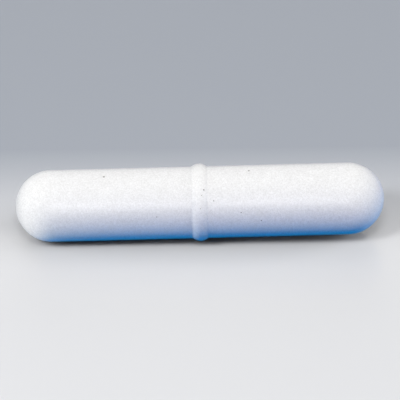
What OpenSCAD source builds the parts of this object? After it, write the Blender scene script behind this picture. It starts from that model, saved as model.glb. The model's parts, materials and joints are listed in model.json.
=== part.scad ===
// Magnetic stir bar: a rod magnet sealed inside a one-piece moulded plastic jacket, which has
// a dome at each end and a low rounded ring round its middle that the bar turns on.
// The bar lies along X with its centre at the origin, and +Z is up. Sizes are in millimetres.

/* [Barrel] */
// Length over both domed ends
bar_length = 41; // [30:0.5:80]
// Diameter of the barrel, and so of the domed ends
barrel_d = 8; // [6:0.5:12]

/* [Pivot ring] */
// Height of the ring above the barrel
ring_height = 0.3; // [0.15:0.05:0.6]
// Width of the ring's rounded back, where that arc would meet the barrel
ring_width = 1.7; // [1.2:0.1:4]
// Radius of the soft corner between the ring's back and the barrel
ring_foot_radius = 0.15; // [0.05:0.05:0.4]

/* [Jacket walls] */
// Thickness of the jacket round the magnet's side
side_wall = 1.25; // [1:0.05:1.8]
// Thickness of the jacket past each end of the magnet, at the tip of the dome
end_wall = 3.2; // [2.5:0.1:6]

/* [Magnet] */
// Gap between the magnet and its pocket, all round
magnet_clearance = 0.02; // [0.01:0.01:0.1]
// Chamfer on the edge of each end of the magnet
magnet_chamfer = 0.4; // [0.1:0.1:0.8]

/* [Hidden] */
$fn = 128;

// The straight barrel runs between the centres of the two domes
barrel_r = barrel_d / 2;
barrel_length = bar_length - barrel_d;

// The ring's back is one arc, and each soft corner is an arc that touches both that back and
// the barrel. Points in the section are [radius, place along the bar].
ring_back_r = (ring_height ^ 2 + (ring_width / 2) ^ 2) / (2 * ring_height);
ring_back_centre = [barrel_r + ring_height - ring_back_r, 0];
foot_centre = [
    barrel_r + ring_foot_radius,
    sqrt(ring_height * (2 * (ring_back_r + ring_foot_radius) - ring_height))
];
foot_on_barrel = [barrel_r, foot_centre.y];
foot_on_back = ring_back_centre
    + (foot_centre - ring_back_centre) * ring_back_r / (ring_back_r + ring_foot_radius);

// The magnet and its pocket take what the walls leave
pocket_d = barrel_d - 2 * side_wall;
pocket_length = bar_length - 2 * end_wall;
magnet_d = pocket_d - 2 * magnet_clearance;
magnet_length = pocket_length - 2 * magnet_clearance;

// A point of the section, moved to the other half of the bar
function mirrored(point) = [point.x, -point.y];

// Section of the barrel, with the ring's two soft corners and a flat between them
module barrel_section() {
    difference() {
        polygon([
            [0, -barrel_length / 2],
            [barrel_r, -barrel_length / 2],
            mirrored(foot_on_barrel),
            mirrored(foot_on_back),
            foot_on_back,
            foot_on_barrel,
            [barrel_r, barrel_length / 2],
            [0, barrel_length / 2]
        ]);
        for (centre = [foot_centre, mirrored(foot_centre)])
            translate(centre)
                circle(r = ring_foot_radius);
    }
}

// Section of the ring's rounded back, which rises from that flat
module ring_back_section() {
    translate(ring_back_centre)
        circle(r = ring_back_r);
}

// Section of the dome at one end: side is -1 or 1
module dome_section(side) {
    intersection() {
        translate([0, side * barrel_length / 2])
            circle(r = barrel_r);
        translate([0, -bar_length / 2])
            square([barrel_r, bar_length]);
    }
}

// Section of a rod with a chamfer on both end edges
module rod_section(d, length, chamfer) {
    polygon([
        [0, -length / 2],
        [d / 2 - chamfer, -length / 2],
        [d / 2, -length / 2 + chamfer],
        [d / 2, length / 2 - chamfer],
        [d / 2 - chamfer, length / 2],
        [0, length / 2]
    ]);
}

// Turns a section into a solid that lies along X
module turned() {
    rotate([0, 90, 0])
        rotate_extrude()
            children();
}

module jacket() {
    color("whitesmoke")
        difference() {
            turned() {
                barrel_section();
                ring_back_section();
                dome_section(-1);
                dome_section(1);
            }
            turned()
                rod_section(pocket_d, pocket_length, magnet_chamfer);
        }
}

module magnet() {
    color("dimgray")
        turned()
            rod_section(magnet_d, magnet_length, magnet_chamfer);
}

jacket();
magnet();
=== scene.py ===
"""Looks of the magnetic stir bar: its materials, the floor it lies on, the lights and the camera.

Everything is in metres, in the part's own frame: the bar lies along X with its centre at the
origin, and +Z is up. The camera looks along +Y, so the bar's front is on its -Y side.
"""
import json
import math

import bpy
from mathutils import Matrix, Vector


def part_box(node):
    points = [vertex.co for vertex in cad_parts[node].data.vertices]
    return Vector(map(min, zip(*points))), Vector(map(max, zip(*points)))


MM = 0.001

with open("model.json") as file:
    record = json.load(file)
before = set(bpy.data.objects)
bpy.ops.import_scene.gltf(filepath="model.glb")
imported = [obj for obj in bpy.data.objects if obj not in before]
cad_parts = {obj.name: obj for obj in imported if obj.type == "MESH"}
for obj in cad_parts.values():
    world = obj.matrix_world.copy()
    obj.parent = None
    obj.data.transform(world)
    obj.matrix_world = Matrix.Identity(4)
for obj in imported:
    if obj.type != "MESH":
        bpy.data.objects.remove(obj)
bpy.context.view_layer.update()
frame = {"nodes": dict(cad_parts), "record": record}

# The bar, from the frame
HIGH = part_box("jacket")[1]
HALF_LENGTH = HIGH.x
RING_RADIUS = HIGH.z
BARREL_RADIUS = frame["record"]["mounts"][0]["dims"]["r_mm"] * MM
DOME_CENTRE = HALF_LENGTH - BARREL_RADIUS
MAGNET_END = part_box("magnet")[1].x


# ---- node helpers -------------------------------------------------------------------------------

# The levels that cloudy noise mostly stays between
NOISE_LOW = 0.3
NOISE_HIGH = 0.7


def new_material(name):
    """An empty node material, with its tree and its output node."""
    material = bpy.data.materials.new(name)
    material.use_nodes = True
    tree = material.node_tree
    tree.nodes.clear()
    output = tree.nodes.new("ShaderNodeOutputMaterial")
    return material, tree, output


def add(tree, kind, inputs=None, **settings):
    """A node with its settings. An input is given by name or number, as a value or a socket."""
    node = tree.nodes.new(kind)
    for key, value in settings.items():
        setattr(node, key, value)
    for key, value in (inputs or {}).items():
        if isinstance(value, bpy.types.NodeSocket):
            tree.links.new(value, node.inputs[key])
        else:
            node.inputs[key].default_value = value
    return node


def math_node(tree, operation, *values):
    """One step of arithmetic on its values."""
    node = add(tree, "ShaderNodeMath", dict(enumerate(values)), operation=operation)
    return node.outputs[0]


def product(tree, values):
    """All the values, multiplied."""
    result = values[0]
    for value in values[1:]:
        result = math_node(tree, "MULTIPLY", result, value)
    return result


def stretch(tree, value, low, high, new_low, new_high, smooth=False):
    """The value moved from one range to another and held at its ends."""
    node = add(tree, "ShaderNodeMapRange", {
        "Value": value,
        "From Min": low,
        "From Max": high,
        "To Min": new_low,
        "To Max": new_high,
    }, interpolation_type="SMOOTHSTEP" if smooth else "LINEAR")
    return node.outputs[0]


def object_place(tree):
    """The place on the object, in metres."""
    return add(tree, "ShaderNodeTexCoord").outputs["Object"]


def noise(tree, place, size, detail=2.0):
    """Cloudy noise with lumps about as wide as size."""
    node = add(tree, "ShaderNodeTexNoise", {
        "Vector": place,
        "Scale": 1.0 / size,
        "Detail": detail,
    })
    return node.outputs["Fac"]


def noise_range(tree, value, low, high):
    """Cloudy noise moved to the range from low to high."""
    return stretch(tree, value, NOISE_LOW, NOISE_HIGH, low, high)


def mix_colours(tree, factor, first, second):
    """The first colour where the factor is 0, and the second where it is 1."""
    node = add(tree, "ShaderNodeMix", {
        "Factor": factor,
        "A": first,
        "B": second,
    }, data_type="RGBA")
    return node.outputs["Result"]


# ---- jacket -------------------------------------------------------------------------------------

# The plastic is a shade greyer where it is thin and the magnet lies under it. It gets its solid
# colour towards the bar's ends, over END_FADE from the magnet's end, and in the ring, over RING_FADE
# out from the barrel.
THIN_COLOUR = (0.965, 0.965, 0.97, 1.0)
SOLID_COLOUR = (0.995, 0.995, 0.995, 1.0)
END_FADE = (-2.0 * MM, 0.5 * MM)
RING_FADE = (0.02 * MM, 0.15 * MM)

# Faint mottling: the width of its lumps, the noise's detail and the darkest tone of each
MOTTLING = {
    "fine": (0.14 * MM, 1.0, 0.84),
    "grain": (0.26 * MM, 2.0, 0.90),
    "mottle": (0.9 * MM, 3.0, 0.955),
    "cloud": (7.0 * MM, 2.0, 0.985),
}
FINE_BUMP = 0.5
BUMP_DEPTH = 0.018 * MM

# Dark specks at chosen places: the place along the bar, the distance from its axis and the speck's
# width in mm, and the angle round the bar in degrees, from straight ahead (0) to straight up (90).
SPECKS = [
    (0.49, 4.21, 0.19, 53.5),
    (0.23, 4.28, 0.10, 45.0),
    (0.07, 4.30, 0.10, 25.0),
    (1.55, 4.00, 0.13, 36.3),
    (5.53, 4.00, 0.21, 91.5),
    (4.55, 4.00, 0.13, 16.5),
    (6.77, 4.00, 0.15, 1.3),
    (-4.79, 4.00, 0.12, 12.5),
    (-10.55, 4.00, 0.23, 85.2),
]
SPECK_COLOUR = (0.16, 0.14, 0.12, 1.0)
# A chosen speck fades from its core to its edge, both as shares of half its width. SPECK_LEVEL is
# what it leaves of the plastic's colour.
SPECK_CORE = 0.3
SPECK_EDGE = 1.5
SPECK_LEVEL = 0.1

# Fainter specks all over: the spacing of their cells, the share of cells with a speck, the width
SCATTER = [
    (1.3 * MM, 0.16, 0.12 * MM),
    (0.6 * MM, 0.10, 0.07 * MM),
]
# Each fades from its core to its edge, as shares of its width, and is at most this dark
SCATTER_CORE = 0.15
SCATTER_EDGE = 0.6
SCATTER_DEPTH = 0.5


def chosen_specks(tree, place):
    """1 on the plain surface and less on each speck of the list."""
    levels = []
    for along, out, width, angle in SPECKS:
        turn = math.radians(angle)
        centre = Vector((along, -out * math.cos(turn), out * math.sin(turn))) * MM
        gap = add(tree, "ShaderNodeVectorMath", {0: place, 1: centre}, operation="DISTANCE")
        reach = 0.5 * width * MM
        core, edge = SPECK_CORE * reach, SPECK_EDGE * reach
        levels.append(stretch(tree, gap.outputs["Value"], core, edge, SPECK_LEVEL, 1.0, True))
    return product(tree, levels)


def scattered_specks(tree, place, spacing, share, width):
    """1 on the plain surface and less on a few of the cells, each with one small round speck."""
    cell = add(tree, "ShaderNodeTexVoronoi", {"Vector": place, "Scale": 1.0 / spacing})
    core, edge = SCATTER_CORE * width / spacing, SCATTER_EDGE * width / spacing
    near = stretch(tree, cell.outputs["Distance"], core, edge, 1.0, 0.0)
    pick = add(tree, "ShaderNodeSeparateColor", {"Color": cell.outputs["Color"]})
    chosen = math_node(tree, "LESS_THAN", pick.outputs[0], share)
    depth = math_node(tree, "MULTIPLY", pick.outputs[1], SCATTER_DEPTH)
    dark = product(tree, [near, chosen, depth])
    return math_node(tree, "SUBTRACT", 1.0, dark)


def plastic_colour(tree, place):
    """The plain colour of the plastic: thin over the magnet, and solid at the ends and the ring."""
    parts = add(tree, "ShaderNodeSeparateXYZ", {0: place}).outputs
    along = math_node(tree, "ABSOLUTE", parts["X"])
    across = add(tree, "ShaderNodeCombineXYZ", {1: parts["Y"], 2: parts["Z"]})
    out = add(tree, "ShaderNodeVectorMath", {0: across.outputs[0]}, operation="LENGTH")
    low, high = [MAGNET_END + step for step in END_FADE]
    end = stretch(tree, along, low, high, 0.0, 1.0, True)
    low, high = [BARREL_RADIUS + step for step in RING_FADE]
    ring = stretch(tree, out.outputs["Value"], low, high, 0.0, 1.0, True)
    return mix_colours(tree, math_node(tree, "MAXIMUM", end, ring), THIN_COLOUR, SOLID_COLOUR)


def jacket_material():
    """White, waxy, matte moulded plastic with a fine grain and a few dark specks."""
    material, tree, output = new_material("jacket_plastic")
    place = object_place(tree)
    noises = {}
    for name, (size, detail, _) in MOTTLING.items():
        noises[name] = noise(tree, place, size, detail)
    tone = product(tree, [
        noise_range(tree, noises[name], darkest, 1.0)
        for name, (_, _, darkest) in MOTTLING.items()
    ])
    specks = [chosen_specks(tree, place)]
    for spacing, share, width in SCATTER:
        specks.append(scattered_specks(tree, place, spacing, share, width))
    level = product(tree, [tone, product(tree, specks)])
    colour = mix_colours(tree, level, SPECK_COLOUR, plastic_colour(tree, place))

    fine = math_node(tree, "MULTIPLY", noises["fine"], FINE_BUMP)
    height = math_node(tree, "ADD", noises["grain"], fine)
    bump = add(tree, "ShaderNodeBump", {
        "Height": height,
        "Strength": 1.0,
        "Distance": BUMP_DEPTH,
    })

    shader = add(tree, "ShaderNodeBsdfPrincipled", {
        "Base Color": colour,
        "Roughness": noise_range(tree, noises["mottle"], 0.35, 0.43),
        "IOR": 1.38,
        "Subsurface Weight": 0.1,
        "Subsurface Radius": (1.0, 1.0, 1.0),
        "Subsurface Scale": 0.5 * MM,
        "Normal": bump.outputs[0],
    })
    tree.links.new(shader.outputs[0], output.inputs[0])
    return material


# ---- magnet -------------------------------------------------------------------------------------

ALLOY_DARK = (0.075, 0.075, 0.08, 1.0)
ALLOY_LIGHT = (0.19, 0.19, 0.195, 1.0)
ALLOY_GRAIN = 0.25 * MM
ALLOY_PATCH = 2.5 * MM
GRAIN_SHARE = 0.7
PATCH_SHARE = 0.3


def magnet_material():
    """Dull dark grey cast magnet alloy with a coarse grain."""
    material, tree, output = new_material("magnet_alloy")
    place = object_place(tree)
    grain = noise(tree, place, ALLOY_GRAIN, 4.0)
    patch = noise(tree, place, ALLOY_PATCH, 2.0)
    level = math_node(
        tree, "ADD",
        math_node(tree, "MULTIPLY", grain, GRAIN_SHARE),
        math_node(tree, "MULTIPLY", patch, PATCH_SHARE),
    )
    colour = mix_colours(tree, noise_range(tree, level, 0.0, 1.0), ALLOY_DARK, ALLOY_LIGHT)
    bump = add(tree, "ShaderNodeBump", {"Height": grain, "Strength": 0.5, "Distance": 0.03 * MM})
    shader = add(tree, "ShaderNodeBsdfPrincipled", {
        "Base Color": colour,
        "Metallic": 0.8,
        "Roughness": noise_range(tree, grain, 0.45, 0.7),
        "Normal": bump.outputs[0],
    })
    tree.links.new(shader.outputs[0], output.inputs[0])
    return material


def dress(node, material):
    """Puts a material in a CAD node's slots."""
    for slot in frame["nodes"][node].material_slots:
        slot.material = material


dress("jacket", jacket_material())
dress("magnet", magnet_material())


# ---- floor --------------------------------------------------------------------------------------

# The sheet's colour changes from the first of these, by its place along Y, to the second. The
# darkening towards the back is painted shade, for light that falls off behind the bar.
FLOOR_NEAR = (-0.5 * MM, (0.725, 0.73, 0.749, 1.0))
FLOOR_FAR = (17.0 * MM, (0.357, 0.383, 0.433, 1.0))
FLOOR_HALF = 1.5

# The card that the bar sees in place of the sheet, for the coloured light that its surroundings
# throw up at it. It is blue, by the distance from the bar's axis in mm. To the left of PALE_END, near
# the tip of the left dome, it goes by the distance in front of the axis instead and is mostly pale.
# Over SIDE_FADE, further left, that turns into one side colour.
BOUNCE_BLUE = [
    (7.0, (0.00, 0.25, 0.64, 1.0)),
    (12.0, (0.00, 0.05, 0.45, 1.0)),
    (26.0, (0.00, 0.00, 0.16, 1.0)),
]
BOUNCE_PALE = [
    (0.0, (0.30, 0.36, 0.45, 1.0)),
    (3.0, (0.92, 0.92, 0.92, 1.0)),
    (12.0, (0.92, 0.92, 0.92, 1.0)),
    (22.0, (0.20, 0.30, 0.36, 1.0)),
]
BOUNCE_SIDE = (0.30, 0.35, 0.40, 1.0)
SIDE_FADE = (-30.0 * MM, -24.0 * MM)
PALE_END = -18.5 * MM
PALE_FADE = 1.5 * MM
# Light that has been scattered more than once sees a dark grey floor, so the blue doesn't build up
BOUNCE_SECOND = (0.10, 0.10, 0.10, 1.0)
ONE_BOUNCE = 1.5


def floor_frame():
    """The plane that touches the ring and the left dome: the bar lies on those two."""
    tilt = math.asin((RING_RADIUS - BARREL_RADIUS) / DOME_CENTRE)
    turn = Matrix.Rotation(tilt, 4, "Y")
    return Matrix.Translation((0, 0, -RING_RADIUS)) @ turn


def steps(tree, distance, colours):
    """A colour that changes smoothly with a distance, from one of the listed colours to the next."""
    reach = colours[-1][0] * MM
    ramp = add(tree, "ShaderNodeValToRGB", {0: math_node(tree, "DIVIDE", distance, reach)})
    ramp.color_ramp.interpolation = "EASE"
    stops = ramp.color_ramp.elements
    while len(stops) < len(colours):
        stops.new(1.0)
    for stop, (place, colour) in zip(stops, colours):
        stop.position = place * MM / reach
        stop.color = colour
    return ramp.outputs["Color"]


def sheet_shader(tree, parts):
    """What the camera sees: a smooth pale sheet, lighter in front of the bar than behind it, with
    painted shade for the light falling off towards the back.
    """
    (near, near_colour), (far, far_colour) = FLOOR_NEAR, FLOOR_FAR
    # Painted shade: the sheet darkens towards the back, where the light falls off
    ramp = add(tree, "ShaderNodeValToRGB", {0: stretch(tree, parts["Y"], near, far, 0.0, 1.0)})
    ramp.color_ramp.elements[0].color = near_colour
    ramp.color_ramp.elements[1].color = far_colour
    return add(tree, "ShaderNodeBsdfPrincipled", {
        "Base Color": ramp.outputs["Color"],
        "Roughness": 0.08,
        "IOR": 1.49,
    })


def bounce_shader(tree, parts, ray):
    """What the bar sees: a card that is blue, but pale near the bar's left end."""
    away = math_node(tree, "ABSOLUTE", parts["Y"])
    pale = steps(tree, math_node(tree, "MULTIPLY", parts["Y"], -1.0), BOUNCE_PALE)
    side = stretch(tree, parts["X"], *SIDE_FADE, 0.0, 1.0)
    pale = mix_colours(tree, side, BOUNCE_SIDE, pale)
    low, high = PALE_END - PALE_FADE, PALE_END + PALE_FADE
    along = stretch(tree, parts["X"], low, high, 0.0, 1.0)
    card = mix_colours(tree, along, pale, steps(tree, away, BOUNCE_BLUE))
    second = math_node(tree, "GREATER_THAN", ray.outputs["Diffuse Depth"], ONE_BOUNCE)
    colour = mix_colours(tree, second, card, BOUNCE_SECOND)
    return add(tree, "ShaderNodeBsdfDiffuse", {"Color": colour})


def floor_material():
    """The sheet for the camera, and the card for light that goes from the floor to the bar."""
    material, tree, output = new_material("floor_sheet")
    parts = add(tree, "ShaderNodeSeparateXYZ", {0: object_place(tree)}).outputs
    sheet = sheet_shader(tree, parts)
    ray = add(tree, "ShaderNodeLightPath")
    bounce = bounce_shader(tree, parts, ray)
    mix = add(tree, "ShaderNodeMixShader", {
        0: math_node(tree, "MAXIMUM", ray.outputs["Is Diffuse Ray"], ray.outputs["Is Glossy Ray"]),
        1: sheet.outputs[0],
        2: bounce.outputs[0],
    })
    tree.links.new(mix.outputs[0], output.inputs[0])
    return material


def make_floor():
    """A large flat floor under the bar."""
    half = FLOOR_HALF
    mesh = bpy.data.meshes.new("floor")
    corners = [(-half, -half, 0), (half, -half, 0), (half, half, 0), (-half, half, 0)]
    mesh.from_pydata(corners, [], [(0, 1, 2, 3)])
    floor = bpy.data.objects.new("floor", mesh)
    floor.matrix_world = floor_frame()
    mesh.materials.append(floor_material())
    bpy.context.collection.objects.link(floor)


make_floor()


# ---- light --------------------------------------------------------------------------------------

# Each softbox: name, azimuth and elevation in degrees, side in metres and power in watts
LAMP_DISTANCE = 0.5
LAMPS = [
    ("key", -45, 47, 0.12, 0.92),
    ("key_low", -60, 30, 0.12, 0.42),
    ("front", 0, 57, 0.12, 0.62),
    ("front_right", 45, 58, 0.25, 0.44),
    ("top", 180, 75, 0.25, 0.17),
    ("back", 180, 20, 0.25, 0.40),
    ("left", -90, 20, 0.25, 0.66),
    ("right", 90, 20, 0.25, 1.20),
]

# The sheen strip: it stands so close that the bar stops its whole beam, and none of it reaches the
# glossy floor
SHEEN_ELEVATION = 30
SHEEN_DISTANCE = 8.0 * MM
SHEEN_LENGTH = 34.0 * MM
SHEEN_WIDTH = 4.4 * MM
SHEEN_POWER = 0.000147
SHEEN_SPREAD = 24.0

# The light from all round, and the backdrop that the camera and gloss see in its place
WORLD_STRENGTH = 0.01
BACKDROP_COLOUR = (0.78, 0.79, 0.80, 1.0)


def towards(azimuth, elevation):
    """The unit vector to a place in the studio: azimuth 0 is the camera's side, 90 is on the right."""
    a, e = math.radians(azimuth), math.radians(elevation)
    return Vector((math.sin(a) * math.cos(e), -math.cos(a) * math.cos(e), math.sin(e)))


def softbox(name, azimuth, elevation, width, height, power, distance=LAMP_DISTANCE):
    """A rectangular lamp that faces the bar. Gloss doesn't see it."""
    data = bpy.data.lights.new(name, "AREA")
    data.shape = "RECTANGLE"
    data.size = width
    data.size_y = height
    data.energy = power
    lamp = bpy.data.objects.new(name, data)
    place = towards(azimuth, elevation) * distance
    turn = place.to_track_quat("Z", "Y").to_matrix().to_4x4()
    lamp.matrix_world = Matrix.Translation(place) @ turn
    lamp.visible_camera = False
    lamp.visible_glossy = False
    bpy.context.collection.objects.link(lamp)
    return lamp


def sheen_strip():
    """A small strip with a grid, along the front of the bar, for a soft sheen: only gloss sees it."""
    size = (SHEEN_LENGTH, SHEEN_WIDTH)
    lamp = softbox("sheen", 0, SHEEN_ELEVATION, *size, SHEEN_POWER, SHEEN_DISTANCE)
    lamp.data.spread = math.radians(SHEEN_SPREAD)
    lamp.visible_glossy = True
    lamp.visible_diffuse = False


def make_world():
    """A faint even light. The camera, gloss and clear surfaces see a pale backdrop instead."""
    world = bpy.data.worlds.new("studio")
    world.use_nodes = True
    tree = world.node_tree
    tree.nodes.clear()
    output = tree.nodes.new("ShaderNodeOutputWorld")
    ray = add(tree, "ShaderNodeLightPath").outputs
    seen = math_node(tree, "MAXIMUM", ray["Is Camera Ray"], ray["Is Glossy Ray"])
    seen = math_node(tree, "MAXIMUM", seen, ray["Is Transmission Ray"])
    light = add(tree, "ShaderNodeBackground", {
        "Color": (1.0, 1.0, 1.0, 1.0),
        "Strength": WORLD_STRENGTH,
    })
    backdrop = add(tree, "ShaderNodeBackground", {"Color": BACKDROP_COLOUR, "Strength": 1.0})
    mix = add(tree, "ShaderNodeMixShader", {
        0: seen,
        1: light.outputs[0],
        2: backdrop.outputs[0],
    })
    tree.links.new(mix.outputs[0], output.inputs[0])
    bpy.context.scene.world = world


for name, azimuth, elevation, side, power in LAMPS:
    softbox(name, azimuth, elevation, side, side, power)
sheen_strip()
make_world()


# ---- camera -------------------------------------------------------------------------------------

# The camera looks down on the bar. It is rolled a little, so that the bar rises to the right.
CAMERA_ELEVATION = 35.0
CAMERA_ROLL = math.radians(1.47)
CAMERA_DISTANCE = 0.5
VIEW_WIDTH = 44.54 * MM
AIM_RIGHT = 0.03 * MM
AIM_UP = 0.23 * MM
SENSOR_WIDTH = 36.0
CLIP_START = 0.01


def make_camera():
    """The camera, with a long lens."""
    data = bpy.data.cameras.new("camera")
    data.sensor_width = SENSOR_WIDTH
    data.lens = SENSOR_WIDTH * CAMERA_DISTANCE / VIEW_WIDTH
    data.clip_start = CLIP_START
    camera = bpy.data.objects.new("camera", data)
    back = towards(0, CAMERA_ELEVATION)
    right = Vector((1, 0, 0))
    up = back.cross(right)
    # Rolling the camera clockwise turns the picture the other way
    right, up = (
        right * math.cos(CAMERA_ROLL) - up * math.sin(CAMERA_ROLL),
        up * math.cos(CAMERA_ROLL) + right * math.sin(CAMERA_ROLL),
    )
    place = back * CAMERA_DISTANCE + right * AIM_RIGHT + up * AIM_UP
    turn = Matrix((right, up, back)).transposed().to_4x4()
    camera.matrix_world = Matrix.Translation(place) @ turn
    bpy.context.collection.objects.link(camera)
    bpy.context.scene.camera = camera


make_camera()
bpy.context.scene.view_settings.view_transform = "Standard"

bpy.context.view_layer.update()
